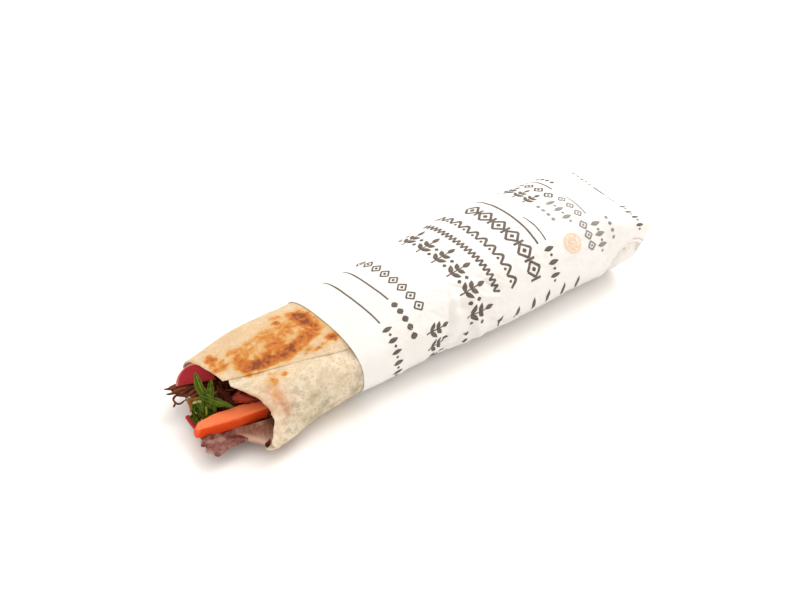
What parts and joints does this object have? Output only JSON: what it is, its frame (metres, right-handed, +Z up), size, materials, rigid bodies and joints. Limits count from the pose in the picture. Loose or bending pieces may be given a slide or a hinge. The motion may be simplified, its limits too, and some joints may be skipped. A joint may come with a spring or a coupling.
{
  "type": "shawarma wrap",
  "caption": "Rolled flatbread with toasted top, sliced meat, tomato, pickled turnip and parsley at its open end, in a white printed paper sleeve folded shut at the other.",
  "frame": {"origin": "middle of the wrap's box on the surface that it lies on", "axes": "+X along the wrap from the open mouth to the folded paper end, +Y to its back, +Z up"},
  "size_m": [0.228, 0.0614, 0.0416],
  "materials": {
    "printed_paper": "uncoated white wrapping paper, matt, with a dark grey-brown print",
    "flatbread": "thin baked flatbread, floury and matt, toasted in patches",
    "beef_dark": "dark roasted meat, moist, satin",
    "beef_slice": "thin sliced roast meat, satin",
    "beef_light": "light brown roast meat, satin",
    "tomato": "cut tomato, wet and glossy",
    "tomato_inner": "tomato flesh, wet and glossy",
    "pickled_turnip": "pickled turnip dyed magenta, wet",
    "parsley": "fresh parsley leaf, slightly waxy"
  },
  "bodies": {
    "root": {"paper_wrap": "printed_paper", "flatbread": "flatbread", "meat_filling": "beef_dark", "tomato_wedge": "tomato", "tomato_piece_inner": "tomato_inner", "turnip_slice": "pickled_turnip", "turnip_stick": "pickled_turnip", "beef_slice_front": "beef_slice", "beef_slice_lower": "beef_slice", "beef_shred": "beef_dark", "beef_flake": "beef_light", "parsley_sprig": "parsley"}
  },
  "joints": []
}
